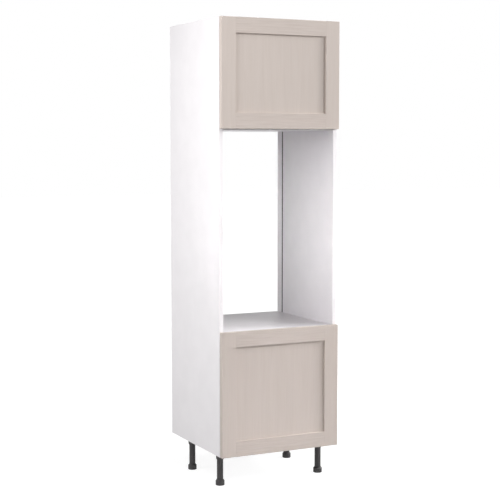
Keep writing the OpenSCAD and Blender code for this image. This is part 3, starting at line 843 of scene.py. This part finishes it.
# %% Make the four feet
def foot(corner):
    node = f"leg_foot_{corner}"
    low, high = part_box(node)
    tube_low, tube_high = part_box(f"leg_tube_{corner}")
    rim, tube = (high.x - low.x) / 2, (tube_high.x - tube_low.x) / 2
    tip, shoulder = high.z - low.z, tube_low.z - low.z - TUBE_GAP
    radii = {"rim": rim, "tube": tube, "stem": tube - STEM_INSET}
    heights = {"floor": 0, "grip": GRIP_SHARE * shoulder, "shoulder": shoulder, "tip": tip}
    first, *steps = [
        (radii[radius] + out * MM, heights[height] + up * MM, share * FLUTE_DEEP)
        for radius, out, height, up, share in FOOT_RINGS
    ]
    bm = bmesh.new()
    ring = new_ring(bm, FOOT_FLUTES * FLUTE_SIDES, first[0])
    bmesh.ops.contextual_create(bm, geom=ring)
    ring = turn_on(bm, ring, steps, flutes=FOOT_FLUTES)
    bmesh.ops.contextual_create(bm, geom=ring)
    spin_thread(bm, radii["stem"], shoulder + BARE_BELOW, tip - BARE_ABOVE)
    bmesh.ops.recalc_face_normals(bm, faces=bm.faces)
    axis = ((low.x + high.x) / 2, (low.y + high.y) / 2, low.z)
    bmesh.ops.translate(bm, vec=axis, verts=bm.verts)
    finish_piece(bm, f"{node}_moulded", [black_plastic], node, smooth_below=50)


for corner in CORNERS:
    foot(corner)

# %% [markdown]
# ## Metal fittings
#
# Hinges, bolts and screws are steel with a bright zinc plating. Plating follows the
# pressed metal below it, so its colour is an even cool grey, and tumbling in a barrel
# leaves its gloss a little clouded. The cam locks are cast zinc, duller and rougher.
# Both are metals, so they keep the shader's own index of refraction. A single roughness
# would give each part one flat shine, so a noise drives the colour, the roughness and
# the relief together.

# %% Zinc plating and die-cast zinc
TUMBLED = 3.6 * MM
CAST = 2.4 * MM
MARK_DEEP = 0.02 * MM
GLOSS_SPREAD = 0.08


def metal(name, dark, light, roughness, scale):
    material, tree, shader, place = new_finish(name, Metallic=1.0)
    mark = add(tree, "ShaderNodeTexNoise", Vector=place, Scale=1 / scale, Detail=3)
    tint = add(
        tree, "ShaderNodeValToRGB", stops={0.3: dark, 0.7: light}, Fac=mark.outputs["Fac"]
    )
    worn = add(
        tree, "ShaderNodeMapRange", Value=mark.outputs["Fac"],
        To_Min=roughness + GLOSS_SPREAD, To_Max=roughness - GLOSS_SPREAD,
    )
    relief = add(tree, "ShaderNodeBump", Height=mark.outputs["Fac"], Distance=MARK_DEEP)
    feed(
        tree, shader, Base_Color=tint.outputs["Color"], Roughness=worn.outputs["Result"],
        Normal=relief.outputs["Normal"],
    )
    return material


zinc_plate = metal("zinc_plated_steel", "bfc3c8", "d3d6da", 0.34, TUMBLED)
cast_zinc = metal("die_cast_zinc", "a8aaac", "bbbdbf", 0.5, CAST)
print("made", zinc_plate.name, "and", cast_zinc.name)

# %% [markdown]
# The dowels are turned beech, pale and short-grained, so they take the doors' stretched
# noise at a smaller size. The door buffers are clear cast rubber. Glass would be
# too clear: a share of the light is scattered inside the rubber, and a fine haze
# breaks up what shows through.

# %% Beech and clear rubber
FIBRE_WIDE, FIBRE_LONG, FIBRE_DEEP = 0.8 * MM, 14 * MM, 0.05 * MM
HAZE, HAZE_DEEP = 2 * MM, 0.02 * MM


def beech_dowel():
    material, tree, shader, place = new_finish("turned_beech", Roughness=0.6, IOR=1.5)
    along_fibre = add(
        tree, "ShaderNodeMapping", Vector=place, Scale=grain_scale(X, FIBRE_WIDE, FIBRE_LONG)
    )
    fibre = add(
        tree, "ShaderNodeTexNoise", Vector=along_fibre.outputs["Vector"], Scale=1, Detail=3
    )
    tint = add(
        tree, "ShaderNodeValToRGB", stops={0.35: "c79f6f", 0.65: "dfc195"},
        Fac=fibre.outputs["Fac"],
    )
    relief = add(tree, "ShaderNodeBump", Height=fibre.outputs["Fac"], Distance=FIBRE_DEEP)
    feed(tree, shader, Base_Color=tint.outputs["Color"], Normal=relief.outputs["Normal"])
    return material


def clear_rubber():
    material, tree, shader, place = new_finish(
        "cast_polyurethane_clear", Base_Color=paint("eef1f2"), Roughness=0.18, IOR=1.5,
        Transmission_Weight=0.6,
    )
    haze = add(tree, "ShaderNodeTexNoise", Vector=place, Scale=1 / HAZE, Detail=1)
    relief = add(tree, "ShaderNodeBump", Height=haze.outputs["Fac"], Distance=HAZE_DEEP)
    feed(tree, shader, Normal=relief.outputs["Normal"])
    return material


beech = beech_dowel()
clear = clear_rubber()
print("made", beech.name, "and", clear.name)

# %% [markdown]
# A concealed hinge is pressed from sheet steel, and a press rounds the edge that its
# punch enters. Every part of the hinge, its pins and the cam locks is a copy with a
# narrow bevel of a quarter of a millimetre. Wider bevels would meet in the thin sheet.

# %% Hinge parts and cam locks with pressed edges
PRESSED_EDGE = 0.25 * MM
PRESSED = [f"{end}_hinge_{part}" for end in ("top", "bottom") for part in ("cup", "arm", "plate")]
PRESSED += ["hinge_links", "cup_pins"]

for node in ["hinge_arm_pins"] + [f"{door}_{part}" for door in DOORS for part in PRESSED]:
    softened_copy(node, f"{node}_pressed", zinc_plate, PRESSED_EDGE)
softened_copy("cam_locks", "cam_locks_cast", cast_zinc, PRESSED_EDGE)

# %% [markdown]
# The screws have pan heads with a cross recess, cold-headed from wire. A lathe's profile
# would give the round head but not the cross. So the flat top is filled between its
# rim and a cross, the cross is sunk, and the rim is drawn on down the dome and the
# shank.

# %% A pan-head screw
HEAD_SIDES = 32
HEAD_R, HEAD_H = 3.6 * MM, 1.6 * MM
HEAD_TOP = 0.65  # the flat top's share of the head's radius
HEAD_DOME = [(0.85, 0.86), (0.96, 0.6), (1, 0.25), (1, 0)]  # shares of its radius and height
SHANK_R, POINT_LONG, POINT_SHARE = 1.9 * MM, 1 * MM, 0.4
CROSS_REACH, CROSS_HALF, CROSS_DEEP = 1.7 * MM, 0.4 * MM, 0.9 * MM


def screw(length):
    """A bmesh along the Z axis. The head rests on z = 0 and the shank is this long."""
    bm = bmesh.new()
    rim = new_ring(bm, HEAD_SIDES, HEAD_TOP * HEAD_R, Matrix.Translation((0, 0, HEAD_H)))
    arm = [(CROSS_REACH, -CROSS_HALF), (CROSS_REACH, CROSS_HALF), (CROSS_HALF, CROSS_HALF)]
    corners = [
        bm.verts.new(Matrix.Rotation(quarter * tau / 4, 3, "Z") @ Vector((x, y, HEAD_H)))
        for quarter in range(4)
        for x, y in arm
    ]
    cross = [bm.edges.new(pair) for pair in zip(corners, corners[1:] + corners[:1])]
    sink(bm, rim, [cross], Vector((0, 0, -CROSS_DEEP)))
    steps = [(radius * HEAD_R, height * HEAD_H) for radius, height in HEAD_DOME]
    steps += [
        (SHANK_R, 0), (SHANK_R, -length + POINT_LONG), (POINT_SHARE * SHANK_R, -length)
    ]
    bmesh.ops.contextual_create(bm, geom=turn_on(bm, rim, steps))
    bmesh.ops.recalc_face_normals(bm, faces=bm.faces)
    return bm


print("a head is", round(2 * HEAD_R / MM, 1), "mm across")

# %% [markdown]
# A node of screws holds several loose solids, and each one gives the place and the
# length of one screw. The places could be typed in, but read from the CAD they follow
# any change to it.

# %% Find the loose solids of a node
def loose_boxes(node):
    """The (low, high) corners of each separate solid."""
    bm = merged_copy(node)
    seen, boxes = set(), []
    for start in bm.verts:
        queue, part = [start], []
        while queue:
            v = queue.pop()
            if v not in seen:
                seen.add(v)
                part.append(v.co.copy())
                queue += [edge.other_vert(v) for edge in v.link_edges]
        if part:
            boxes.append([Vector(map(end, zip(*part))) for end in (min, max)])
    bm.free()
    return boxes


print("the leg sockets are held by", len(loose_boxes("leg_socket_screws")), "screws")

# %% Drive the screws
SCREWS = {  # the way that each node's heads face
    "upper_door_cup_screws": (0, 1, 0), "lower_door_cup_screws": (0, 1, 0),
    "hinge_plate_screws": (-1, 0, 0), "hinge_arm_screws": (-1, 0, 0),
    "leg_socket_screws": (0, 0, -1),
}


def put_in(bm, part, at, facing):
    """Adds a part to a bmesh, its origin at a point and its Z axis turned to face a way."""
    carrier = bpy.data.meshes.new("carrier")
    part.to_mesh(carrier)
    part.free()
    before = set(bm.verts)
    bm.from_mesh(carrier)
    bpy.data.meshes.remove(carrier)
    turn = Vector(facing).to_track_quat("Z", "Y").to_matrix().to_4x4()
    fresh = [v for v in bm.verts if v not in before]
    bmesh.ops.transform(bm, matrix=Matrix.Translation(at) @ turn, verts=fresh)


for node, facing in SCREWS.items():
    bm = bmesh.new()
    way = Vector(facing)
    for low, high in loose_boxes(node):
        along = abs(way.dot(high - low))
        seat = (low + high) / 2 + way * (along / 2 - HEAD_H)
        put_in(bm, screw(along - HEAD_H), seat, facing)
    finish_piece(bm, f"{node}_headed", [zinc_plate], node)

# %% [markdown]
# A door buffer is a drop of clear rubber on a glued foot. It could be a flat disc, as
# the CAD has it, but a drop that sets on a sheet draws itself into a low dome. Half
# of a sphere, pressed flat to the disc's height, has that shape.

# %% The door buffers
DOME_SIDES = 32


def dome(radius, height):
    """A bmesh: the upper half of a sphere, with a floor, pressed to a height."""
    bm = bmesh.new()
    bmesh.ops.create_uvsphere(
        bm, u_segments=DOME_SIDES, v_segments=DOME_SIDES // 2, radius=radius
    )
    cut = bmesh.ops.bisect_plane(
        bm, geom=bm.verts[:] + bm.edges[:] + bm.faces[:], dist=CUT_WITHIN,
        plane_co=(0, 0, 0), plane_no=(0, 0, -1), clear_outer=True,
    )["geom_cut"]
    rim = [g for g in cut if isinstance(g, BMEdge)]
    bmesh.ops.contextual_create(bm, geom=rim)
    bmesh.ops.scale(bm, vec=(1, 1, height / radius), verts=bm.verts)
    bmesh.ops.recalc_face_normals(bm, faces=bm.faces)
    return bm


for door in DOORS:
    node = f"{door}_buffers"
    bm = bmesh.new()
    for low, high in loose_boxes(node):
        middle = (low + high) / 2
        drop = dome((high.x - low.x) / 2, high.y - low.y)
        put_in(bm, drop, (middle.x, low.y, middle.z), (0, 1, 0))
    finish_piece(bm, f"{node}_domed", [clear], node)

# %% [markdown]
# The dowels and the cam bolts are shut inside the boards, and their CAD shape is right.
# They could be left grey, since nobody sees them. But a part that is taken apart should
# show what it is made of, so they get their finishes on the CAD meshes.

# %% Finishes for the fittings inside the boards
CARRIED_OVER = {
    "wooden_dowels": (beech, "beech"), "cam_bolts": (zinc_plate, "zinc_plated_steel")
}
for node, obj in nodes.items():
    if not obj.hide_render:
        material, slot = CARRIED_OVER[node]
        obj.data.materials.clear()
        obj.data.materials.append(material)
        print(node, "is", material.name)

# %% [markdown]
# ## The studio
#
# The unit stands in a white cove. The world is white to the camera, in reflections
# and through clear pieces, but it lights the unit more gently. Lamps strong enough to
# turn the floor white would burn out the carcass. So the floor throws light back like a
# matt grey sheet, and for the camera it is nearly all glow: white far away, and under
# the unit just short of white, which keeps the unit's soft shadow.

# %% The white world
WORLD_LIGHT = 0.12


def seen_directly(tree):
    """1 for rays from the camera, in a mirror or through glass, else 0."""
    path = add(tree, "ShaderNodeLightPath").outputs
    either = add(
        tree, "ShaderNodeMath", {"operation": "MAXIMUM"},
        _0=path["Is Camera Ray"], _1=path["Is Glossy Ray"],
    )
    return add(
        tree, "ShaderNodeMath", {"operation": "MAXIMUM"},
        _0=either.outputs[0], _1=path["Is Transmission Ray"],
    ).outputs[0]


world = bpy.data.worlds.new("white_studio")
scene.world = world
world.use_nodes = True
tree = world.node_tree
tree.nodes.clear()
soft = add(tree, "ShaderNodeBackground", Color=paint("ffffff"), Strength=WORLD_LIGHT)
white = add(tree, "ShaderNodeBackground", Color=paint("ffffff"), Strength=1.0)
sky = add(
    tree, "ShaderNodeMixShader", _0=seen_directly(tree), _1=soft.outputs[0],
    _2=white.outputs[0],
)
add(tree, "ShaderNodeOutputWorld", Surface=sky.outputs[0])
print("the world lights the unit at", WORLD_LIGHT)

# %% A floor that is white to the camera, and keeps the shadow
NEAR_GLOW, SHADED_SHARE = 0.86, 0.3
SHADOW_END, WHITE_FROM = 0.5, 1.3  # metres from the middle of the unit

floor_material = bpy.data.materials.new("painted_studio_floor")
floor_material.use_nodes = True
tree = floor_material.node_tree
tree.nodes.clear()
place = add(tree, "ShaderNodeTexCoord").outputs["Object"]
distance = add(tree, "ShaderNodeVectorMath", {"operation": "LENGTH"}, _0=place)
glow_level = add(
    tree, "ShaderNodeMapRange", Value=distance.outputs["Value"],
    From_Min=SHADOW_END, From_Max=WHITE_FROM, To_Min=NEAR_GLOW, To_Max=1.0,
)
matt = add(tree, "ShaderNodeBsdfDiffuse", Color=paint("9a9a9a"))
shaded = add(tree, "ShaderNodeBsdfDiffuse", Color=[SHADED_SHARE] * 3 + [1])
glow = add(
    tree, "ShaderNodeEmission", Color=paint("ffffff"), Strength=glow_level.outputs["Result"]
)
glowing = add(tree, "ShaderNodeAddShader", _0=shaded.outputs[0], _1=glow.outputs[0])
surface = add(
    tree, "ShaderNodeMixShader", _0=seen_directly(tree), _1=matt.outputs[0],
    _2=glowing.outputs[0],
)
add(tree, "ShaderNodeOutputMaterial", Surface=surface.outputs[0])
print("made", floor_material.name)

# %% Lay the floor
FLOOR_SIDE = 60

bm = bmesh.new()
bmesh.ops.create_grid(bm, x_segments=1, y_segments=1, size=FLOOR_SIDE / 2)
floor_mesh = bpy.data.meshes.new("studio_floor")
bm.to_mesh(floor_mesh)
bm.free()
floor_mesh.materials.append(floor_material)
floor = bpy.data.objects.new("studio_floor", floor_mesh)
scene.collection.objects.link(floor)
floor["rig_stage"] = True
print("floor", FLOOR_SIDE, "m square")

# %% [markdown]
# Five soft boxes and five spots do the rest. A large box far out on the right rakes
# across the doors, and a second stands high in front of them. Both throw the shadows that
# draw the right and upper arrises of each panel and the strip of shelf below the upper
# door. They stand far off, so that the lower door is nearly as bright as the upper. A
# box on the left fills the shadows a little. Two more light the side panel, which fades
# towards the floor. The spots wear grids, which let only a narrow beam out: one reaches
# into the oven bay, one lifts the foot of the lower door, two light the back panels
# without shining through the bay, and one hangs above and in front of the top. Sun lamps
# would be simpler, but their shadows have no soft edge that widens with distance. The
# camera sees no lamp.

# %% Five soft boxes and five gridded spots
LAMPS = [  # where it stands, what it faces, width and height in m, watts, a grid's degrees
    ("raking_box_right", (8.5, -2.6, 4.6), (0, -0.29, 0.9), 2.4, 3.2, 680),
    ("key_box_right", (5, -5.5, 4.6), (0, -0.2, 0.8), 2, 2, 300),
    ("fill_box_left", (-3.4, -4.2, 2.6), (0, -0.2, 1), 1.4, 1.4, 50),
    ("side_box_left", (-3, 0, 1.2), (-0.3, -0.1, 1), 0.8, 1.2, 39),
    ("edge_box_left", (-1.5, -0.7, 2.1), (-0.3, -0.1, 1.7), 0.7, 0.7, 12),
    ("spot_into_bay", (-2.6, -3.6, 1.05), (0.28, -0.05, 1.15), 0.4, 0.4, 0.69, 13),
    ("spot_on_lower_door", (0, -4.6, 0.6), (-0.05, -0.29, 0.25), 0.6, 0.4, 0.55, 20),
    ("spot_upper_back", (0, 3.2, 1.87), (0, 0.24, 1.87), 0.6, 0.5, 0.6, 7),
    ("spot_lower_back", (0, 3.2, 0.43), (0, 0.24, 0.43), 0.6, 0.6, 0.65, 7),
    ("spot_on_top", (0, -0.5, 5.5), (0, -0.2, 2.12), 0.5, 0.5, 1.6, 40),
]


def soft_box(name, at, target, width, height, watts, beam=180):
    """beam is the angle, in degrees, that a grid lets out. 180 is a bare soft box."""
    light = bpy.data.lights.new(name, "AREA")
    light.shape = "RECTANGLE"
    light.size, light.size_y, light.energy = width, height, watts
    light.spread = radians(beam)
    lamp = bpy.data.objects.new(name, light)
    scene.collection.objects.link(lamp)
    lamp.location = at
    lamp.rotation_euler = (Vector(target) - Vector(at)).to_track_quat("-Z", "Y").to_euler()
    lamp.visible_camera = False
    print(name, watts, "W")


for lamp in LAMPS:
    soft_box(*lamp)

# %% The view settings, and the size of the visual box
scene.view_settings.view_transform = "Standard"
low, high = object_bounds()
print("visual box, mm:", [round(side / MM, 1) for side in high - low])
